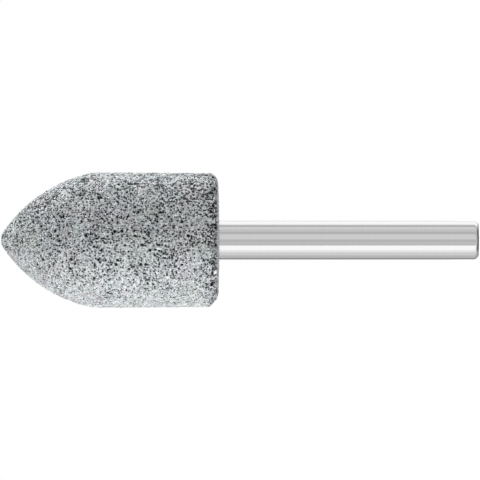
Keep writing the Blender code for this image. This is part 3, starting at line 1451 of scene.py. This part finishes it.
        placed = net.node("GeometryNodeInstanceOnPoints", feeds).outputs[0]
        number = net.node("GeometryNodeInputIndex").outputs[0]
        for mark, value in ((Mark.TONE, self._draw(net, Draw.TONE, 0.0, 1.0)), (Mark.NUMBER, number)):
            placed = net.store(placed, mark, value, data_type="FLOAT", domain="INSTANCE")
        real = net.node("GeometryNodeRealizeInstances", {0: placed}).outputs[0]
        net.node("NodeGroupOutput", {0: real})
        return net.tree

    def build(self, skin: bpy.types.Object, effects: SharedEffects) -> None:
        """Scatter the grains, as one piece for each kind, and dress them.

        Args:
            skin: The head's true surface.
            effects: The shared groups.
        """
        shapes = bpy.data.collections.new("grain_forms")
        for number in range(self.forms):
            shapes.objects.link(self.grain(number))
        tree = self.scatter_tree(shapes)
        reached = 0.0
        for kind in self.kinds:
            piece = add_object(kind.piece, skin.data.copy())
            apply_tree(piece, tree, {"From": reached, "To": reached + kind.share})
            self._lay_cells(piece.data)
            reached += kind.share
            dress(piece, kind.finish.build(effects))
        for shape in list(shapes.objects):
            bpy.data.objects.remove(shape)
        bpy.data.collections.remove(shapes)

    @staticmethod
    def _lay_cells(mesh: bpy.types.Mesh) -> None:
        """Give each grain a cell of its own in the bake map.

        Args:
            mesh: The grains of one piece.
        """
        cell = read_floats(mesh, Mark.NUMBER)[read_corners(mesh)[0]].round().astype(np.int64)
        cells = math.ceil(math.sqrt(cell.max() + 1))
        layer = mesh.uv_layers[BAKE_MAP]
        places = np.empty(len(mesh.loops) * 2, np.float32)
        layer.data.foreach_get("uv", places)
        places = places.reshape(-1, 2) * (1 - 2 * CELL_MARGIN) + CELL_MARGIN
        places += np.column_stack((cell % cells, cell // cells))
        layer.data.foreach_set("uv", (places / cells).astype(np.float32).ravel())


@dataclass(frozen=True)
class Splinter:
    """Long grain with a fresh, light break.

    Args:
        bearing_deg: Direction from the axis, 0 towards -Y and 90 towards +X.
        place: Distance of its top from the axis, and height of its middle.
        half_size: Half its length and half its width.
        turn_deg: Turn of its length away from the axis's direction.
        form: Number of its grain shape.
    """

    bearing_deg: float
    place: Place
    half_size: Place
    turn_deg: float
    form: int

    def lay(self, mesh: bpy.types.Mesh) -> None:
        """Move a grain to the splinter's place.

        Args:
            mesh: A grain of unit radius, its top at height 0.
        """
        outwards = level_direction(self.bearing_deg)
        along = Vector((0.0, 0.0, 1.0))
        stand = Matrix((along, outwards.cross(along), outwards)).transposed()
        turn = stand @ Matrix.Rotation(math.radians(self.turn_deg), 3, "Z")
        size = Matrix.Diagonal((*self.half_size, self.half_size[1], 1.0))
        place = Matrix.Translation(outwards * self.place[0] + along * self.place[1])
        mesh.transform(place @ turn.to_4x4() @ size)


@dataclass(frozen=True)
class Splinters:
    """The few long grains that show a fresh break, as one piece.

    Args:
        lot: The splinters.
        finish: Their finish.
    """

    lot: tuple[Splinter, ...] = (
        Splinter(-7.2, (0.01022, 0.0480), (0.00056, 0.00021), -12.0, 2),
        Splinter(-9.6, (0.01021, 0.0489), (0.00028, 0.00016), 25.0, 4),
        Splinter(-30.0, (0.00972, 0.03965), (0.00042, 0.00030), 75.0, 5),
    )
    finish: GrainFinish = GrainFinish("fresh_grain", (0.93, 0.95, 0.95), (0.96, 0.97, 0.97), 0.45)

    def build(self, bed: GrainBed, effects: SharedEffects) -> None:
        """Make the splinters from grain shapes and dress them.

        Args:
            bed: The bed that has the shapes.
            effects: The shared groups.
        """
        solid = bmesh.new()
        for splinter in self.lot:
            grain = bed.grain(splinter.form)
            splinter.lay(grain.data)
            solid.from_mesh(grain.data)
            bpy.data.objects.remove(grain)
        solid.loops.layers.uv.remove(solid.loops.layers.uv[BAKE_MAP])
        piece = make_piece("splinters", solid, smooth=False)
        dress(piece, self.finish.build(effects))


@dataclass
class Shank:
    """Round steel shank with its knurled seat, turned finely enough for clean reflections.

    Args:
        end_rounding: Rounding of the free end.
        end_rows: Rows of faces for each radian and a half of that rounding.
        body_step: Distance between two rows of the free length's faces.
        seat_chamfer: Chamfer of the seat's end.
        knurl_depth: Depth of the knurl's flutes.
        knurl_runout: Length over which a flute runs out at each end.
        knurl_margin: What the knurl keeps from the head's rear face and from the seat's end.
        groove_width: Width of the ring groove between the two knurled bands.
        groove_depth: Depth of that groove.
        flutes: Number of flutes.
        flute_reach: Distance from a flute's middle to its edge, as a share of their spacing.
        steps_per_flute: Columns of faces for each flute.
        finish: Finish of the steel.
    """

    end_rounding: float = 0.0008
    end_rows: int = 9
    body_step: float = 0.0020
    seat_chamfer: float = 0.0006
    knurl_depth: float = 0.00025
    knurl_runout: float = 0.0006
    knurl_margin: float = 0.0015
    groove_width: float = 0.0014
    groove_depth: float = 0.0003
    flutes: int = 24
    flute_reach: float = 1 / 3
    steps_per_flute: int = 6
    finish: SteelFinish = SteelFinish()

    def __post_init__(self) -> None:
        """Read the outer sizes from the frame."""
        low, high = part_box("shank")
        self.foot = low.z
        self.top = high.z
        self.radius = high.x
        self.head_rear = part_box("abrasive_head")[0].z

    def outline(self) -> Outline:
        """Draw the outline from the middle of the free end to the middle of the seat's end.

        Returns:
            The outline.
        """
        drawn = Outline()
        drawn.point(0.0, self.foot)
        centre = (self.radius - self.end_rounding, self.foot + self.end_rounding)
        drawn.point(centre[0], self.foot)
        radii = (self.end_rounding, self.end_rounding)
        drawn.arc(centre, radii, -math.pi / 2, 0.0, self.end_rounding / self.end_rows)
        drawn.line((self.radius, self.head_rear), self.body_step)
        self._draw_seat(drawn)
        drawn.point(self.radius, self.top - self.seat_chamfer)
        drawn.point(self.radius - self.seat_chamfer, self.top)
        drawn.point(0.0, self.top)
        return drawn

    def _draw_seat(self, drawn: Outline) -> None:
        """Draw two knurled bands with a ring groove between them.

        Args:
            drawn: The outline, which ends at the head's rear face.
        """
        length = self.top - self.head_rear
        band = (length - 2 * self.knurl_margin - self.groove_width) / 2
        for number in range(2):
            start = self.head_rear + self.knurl_margin + number * (band + self.groove_width)
            end = start + band
            if number:
                floor = self.radius - self.groove_depth
                drawn.point(floor, start - self.groove_width + self.groove_depth)
                drawn.point(floor, start - self.groove_depth)
            drawn.point(self.radius, start)
            drawn.point(self.radius, start + self.knurl_runout, flute=self.knurl_depth)
            drawn.point(self.radius, end - self.knurl_runout, flute=self.knurl_depth)
            drawn.point(self.radius, end)

    def build(self) -> None:
        """Make the shank and dress it."""
        columns = self.flutes * self.steps_per_flute
        solid = self.outline().turned(columns)
        flute = solid.verts.layers.float[Mark.FLUTE.value]
        for vert in solid.verts:
            if not vert[flute]:
                continue
            column = round(math.atan2(vert.co.y, vert.co.x) / math.tau * columns)
            away = min(column % self.steps_per_flute, -column % self.steps_per_flute)
            depth = vert[flute] * share_of(1.0 - away / (self.steps_per_flute * self.flute_reach))
            shrink = 1.0 - depth / math.hypot(vert.co.x, vert.co.y)
            vert.co.x *= shrink
            vert.co.y *= shrink
        piece = make_piece("ground_shank", solid)
        lay_bake_map(piece.data, columns)
        dress(piece, self.finish.build())
        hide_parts("shank")


@dataclass
class CementFill:
    """Cement that fills the bore round the shank, with a slight hollow in its mouth.

    Args:
        clearance: What the cement leaves free of its neighbours' walls.
        hollow: How far the mouth sinks between the walls.
        mouth_rows: Rows of faces for each half of the mouth's width.
        columns: Columns of faces around the axis.
        finish: Finish of the cement.
    """

    clearance: float = 0.00002
    hollow: float = 0.00015
    mouth_rows: int = 5
    columns: int = 96
    finish: CementFinish = CementFinish()

    def build(self, shank: Shank, head: AbrasiveHead, effects: SharedEffects) -> None:
        """Make the fill and dress it.

        Args:
            shank: The shank inside it.
            head: The head round it.
            effects: The shared groups.
        """
        inner = shank.radius + self.clearance
        outer = head.bore_radius - self.clearance
        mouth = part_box("bonding_cement")[0].z
        end = head.bore_end - self.clearance
        drawn = Outline()
        drawn.point(0.0, shank.top + self.clearance)
        drawn.point(inner, shank.top + self.clearance)
        drawn.point(inner, mouth)
        half = (outer - inner) / 2
        drawn.arc((inner + half, mouth), (half, self.hollow), math.pi, 0.0, half / self.mouth_rows)
        drawn.point(outer, end)
        drawn.point(0.0, end + head.bore_cone - self.clearance)
        piece = make_piece("cement_fill", drawn.turned(self.columns))
        lay_bake_map(piece.data, self.columns)
        dress(piece, self.finish.build(effects))
        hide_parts("bonding_cement")


@dataclass(frozen=True)
class Strip:
    """Tall soft lamp that stands beside the part and lights it along its whole length.

    Args:
        name: Name of the lamp.
        bearing_deg: Direction from the part, 0 towards the camera and 90 towards +X.
        spread_deg: How wide it looks from the part.
        radiance: Its brightness, where 1 is white.
        use: Whether metal shows it.
    """

    name: str
    bearing_deg: float
    spread_deg: float
    radiance: float
    use: Use = Use.ALL

    def build(self, distance: float, low: float, high: float) -> None:
        """Set up the lamp.

        Args:
            distance: Distance from the part's axis.
            low: Height of its lower edge.
            high: Height of its upper edge.
        """
        lamp = bpy.data.lights.new(self.name, "AREA")
        lamp.shape = "RECTANGLE"
        lamp.size = 2 * distance * math.tan(math.radians(self.spread_deg) / 2)
        lamp.size_y = high - low
        lamp.energy = self.radiance * math.pi * lamp.size * lamp.size_y
        stand = add_object(self.name, lamp)
        away = level_direction(self.bearing_deg)
        stand.location = away * distance + Vector((0.0, 0.0, (low + high) / 2))
        stand.rotation_euler = away.to_track_quat("Z", "Y").to_euler()
        stand.visible_camera = False
        stand.visible_glossy = self.use is Use.ALL


def make_sheet(name: str, placed: Matrix) -> bpy.types.Object:
    """Make a flat sheet.

    Args:
        name: Name of the sheet.
        placed: Where it lies, and half its sides.

    Returns:
        The sheet.
    """
    sheet = bmesh.new()
    bmesh.ops.create_grid(sheet, x_segments=1, y_segments=1, size=1.0, matrix=placed)
    return make_piece(name, sheet, smooth=False)


@dataclass(frozen=True)
class Card:
    """Flat card that only polished metal shows, as a dark line or a dark edge.

    Args:
        name: Name of the card.
        place: Its middle. It faces the origin.
        half_size: Half its width and half its height.
        grey: Its brightness, where 1 is white.
    """

    name: str
    place: tuple[float, float, float]
    half_size: Place
    grey: float

    def build(self) -> None:
        """Set up the card."""
        turn = (-Vector(self.place)).to_track_quat("Z", "Y").to_matrix().to_4x4()
        size = Matrix.Diagonal((*self.half_size, 1.0, 1.0))
        piece = make_sheet(self.name, Matrix.Translation(self.place) @ turn @ size)
        finish, net, shader = new_finish(self.name)
        feeds = {"Base Color": BLACK, "Specular IOR Level": 0.0}
        feeds |= {"Emission Color": WHITE, "Emission Strength": self.grey}
        net.feed(shader, feeds)
        piece.data.materials.append(finish)
        piece.visible_camera = False
        piece.visible_diffuse = False
        piece.visible_shadow = False


@dataclass
class Studio:
    """Plain pale floor, soft strip lamps, white surroundings and the camera.

    Args:
        frame_width: Width of the picture at the part's axis.
        aim_height: Height of the point on the axis that the camera looks at.
        distance: Distance of the camera from the axis.
        sensor: Width of the camera's sensor.
        clip: Nearest and farthest distance that the camera sees.
        lamp_distance: Distance of the strips from the axis.
        lamp_foot: How far the strips reach below the part's foot.
        lamp_height: Height of the strips' upper edge.
        ambient: Strength of the surroundings' light on dull surfaces.
        floor_size: Length of the floor's sides.
        floor_grey: Brightness of the floor under the lamps.
        floor_glow: What it glows with besides, where it is seen, by the distance from the part.
        strips: The lamps.
        cards: The cards.
    """

    frame_width: float = 0.07224
    aim_height: float = 0.03594
    distance: float = 0.790
    sensor: float = 0.036
    clip: Range = (0.01, 20.0)
    lamp_distance: float = 0.12
    lamp_foot: float = 0.09
    lamp_height: float = 0.30
    ambient: float = 0.08
    floor_size: float = 6.0
    floor_grey: float = 0.80
    floor_glow: Ramp = Ramp(0.10, 0.32, 0.80, 0.96)
    strips: tuple[Strip, ...] = (
        Strip("high_back", 115.0, 33.0, 0.98),
        Strip("high_rear", 147.0, 34.0, 0.50),
        Strip("high_side", 72.0, 14.0, 0.36),
        Strip("high_front", 57.0, 17.0, 0.17),
        Strip("upper_front", 18.0, 30.0, 0.32),
        Strip("middle", -18.0, 12.0, 0.12),
        Strip("low_front", -46.0, 29.0, 1.06),
        Strip("low_side", -68.0, 15.0, 0.70),
        Strip("low_back", -88.0, 25.0, 0.32),
        Strip("soft_low", -64.0, 50.0, 1.40, Use.GRIT_ONLY),
        Strip("soft_low_back", -125.0, 50.0, 0.65, Use.GRIT_ONLY),
        Strip("soft_high", 107.0, 56.0, 3.05, Use.GRIT_ONLY),
        Strip("soft_front", -20.0, 40.0, 0.44, Use.GRIT_ONLY),
    )
    cards: tuple[Card, ...] = (
        Card("card_behind", (-0.1071, 0.1189, 0.0), (0.031, 0.300), 0.50),
        Card("card_line", (0.1058, -0.1200, 0.0), (0.013, 0.300), 0.94),
        Card("card_below", (0.0, 0.0, -0.050), (0.040, 0.018), 0.24),
    )

    def camera(self) -> None:
        """Stand the camera level beside the part, rolled so that +Z points left in the picture."""
        lens = bpy.data.cameras.new("camera")
        lens.sensor_width = self.sensor / MILLIMETRE
        lens.lens = lens.sensor_width * self.distance / self.frame_width
        lens.clip_start, lens.clip_end = self.clip
        stand = add_object("camera", lens)
        turn = Matrix(((0.0, 1.0, 0.0), (0.0, 0.0, -1.0), (-1.0, 0.0, 0.0)))
        stand.matrix_world = Matrix.Translation((0.0, -self.distance, self.aim_height)) @ turn.to_4x4()
        bpy.context.scene.camera = stand

    @staticmethod
    def _seen_directly(net: Net) -> bpy.types.NodeSocket:
        """Tell rays from the camera, from metal and through glass from those off dull surfaces.

        Args:
            net: The tree.

        Returns:
            A share, 1 for the first kinds of rays and 0 for the last.
        """
        path = net.node("ShaderNodeLightPath").outputs
        seen = net.maths("MAXIMUM", path["Is Camera Ray"], path["Is Glossy Ray"])
        return net.maths("MAXIMUM", seen, path["Is Transmission Ray"])

    def surroundings(self) -> None:
        """Set up white surroundings that light dull surfaces only softly."""
        world = bpy.data.worlds.new("surroundings")
        world.use_nodes = True
        net = Net(world.node_tree)
        strength = net.ramp(self._seen_directly(net), Ramp(0.0, 1.0, self.ambient, 1.0, smooth=False))
        net.feed(world.node_tree.nodes["Background"], {"Color": WHITE, "Strength": strength})
        bpy.context.scene.world = world

    def floor(self) -> None:
        """Lay a white floor that keeps the part's shadow."""
        half = self.floor_size / 2
        piece = make_sheet("floor", Matrix.Diagonal((half, half, 1.0, 1.0)))
        finish, net, shader = new_finish("floor_white")
        away = net.length(net.node("ShaderNodeTexCoord").outputs["Object"])
        glow = net.maths("MULTIPLY", self._seen_directly(net), net.ramp(away, self.floor_glow))
        feeds = {"Base Color": (*[self.floor_grey] * 3, 1.0), "Roughness": 1.0}
        feeds |= {"Specular IOR Level": 0.0, "Emission Color": WHITE, "Emission Strength": glow}
        net.feed(shader, feeds)
        piece.data.materials.append(finish)
        piece.visible_glossy = False

    def build(self) -> None:
        """Set up the whole studio."""
        for strip in self.strips:
            strip.build(self.lamp_distance, -self.lamp_foot, self.lamp_height)
        for card in self.cards:
            card.build()
        self.surroundings()
        self.floor()
        self.camera()
        bpy.context.scene.view_settings.view_transform = "Standard"
        LOG.info("studio: %d lamps", len(self.strips))


def clear_scene() -> None:
    """Remove every object that isn't part of the frame."""
    kept = {*frame["bodies"].values(), *frame["nodes"].values()}
    for found in list(bpy.data.objects):
        if found not in kept:
            bpy.data.objects.remove(found, do_unlink=True)


def main() -> None:
    """Build and dress every piece, and set up the studio."""
    logging.basicConfig(level=logging.INFO, format="%(name)s: %(message)s")
    clear_scene()
    effects = SharedEffects()

    head = AbrasiveHead()
    skin = head.skin()
    bed = GrainBed()
    bed.build(skin, effects)
    Splinters().build(bed, effects)
    head.build(skin, effects)

    shank = Shank()
    shank.build()
    CementFill().build(shank, head, effects)

    Studio().build()


if __name__ == "__main__":
    main()
